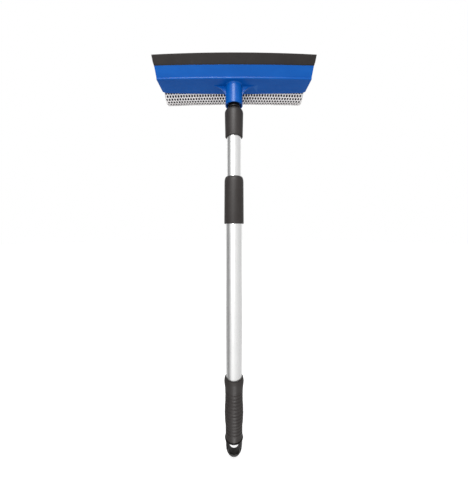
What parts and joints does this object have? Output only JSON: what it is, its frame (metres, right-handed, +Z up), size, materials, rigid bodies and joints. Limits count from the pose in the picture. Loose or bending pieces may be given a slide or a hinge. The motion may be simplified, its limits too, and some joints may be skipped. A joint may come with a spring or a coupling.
{
  "type": "telescopic window washer",
  "caption": "Hand-held window washer: a rubber squeegee blade and a net-covered sponge on a telescopic twist-lock pole with a ribbed grip and a hanging loop.",
  "frame": {"origin": "on the pole's axis at the middle of the hand grip, where a hand holds it", "axes": "+Z up the pole to the head, -Y to the front where the squeegee blade leans, +Y to the sponge pad"},
  "size_m": [0.2098, 0.0748, 0.6111],
  "materials": {
    "aluminium_tube": "satin drawn tube",
    "grip_rubber": "soft matte",
    "black_plastic": "moulded, fine grain",
    "blade_rubber": "smooth, slightly dusty",
    "blue_plastic": "moulded polypropylene, satin gloss",
    "nylon": "natural",
    "steel": "zinc plated",
    "sponge_foam": "open-cell foam",
    "netting": "knitted nylon net"
  },
  "bodies": {
    "handle": {"outer_tube": "aluminium_tube", "grip_sleeve": "grip_rubber", "hang_cap": "black_plastic", "tube_collar": "grip_rubber", "guide_bush": "nylon"},
    "expander": {"expander_sleeve": "nylon"},
    "lock_cone": {"lock_cone": "black_plastic"},
    "upper_pole": {"inner_tube": "aluminium_tube", "lock_spindle": "black_plastic", "spindle_stop": "steel", "spindle_pin": "steel", "tip_pin": "steel", "tip_collar": "grip_rubber", "threaded_tip": "black_plastic", "head_body": "blue_plastic", "squeegee_blade": "blade_rubber", "pad_backing_plate": "blue_plastic", "pad_screw_1": "steel", "pad_screw_2": "steel", "pad_screw_3": "steel", "pad_screw_4": "steel", "sponge_pad": "sponge_foam", "net_cover": "netting"}
  },
  "joints": [
    {"name": "telescope_slide", "type": "slide", "parent": "handle", "child": "expander", "axis": [0, 0, 1], "range_m": [-0.052, 0.24]},
    {"name": "twist_lock", "type": "hinge", "parent": "expander", "child": "upper_pole", "pos_m": [0, 0, 0.07], "axis": [0, 0, 1], "range_deg": [0, 180]},
    {"name": "cone_travel", "type": "slide", "parent": "expander", "child": "lock_cone", "axis": [0, 0, -1], "range_m": [0, 0.001]}
  ],
  "couplings": [
    {"joint": "cone_travel", "follows": "twist_lock", "m_per_rad": 0.000318}
  ]
}
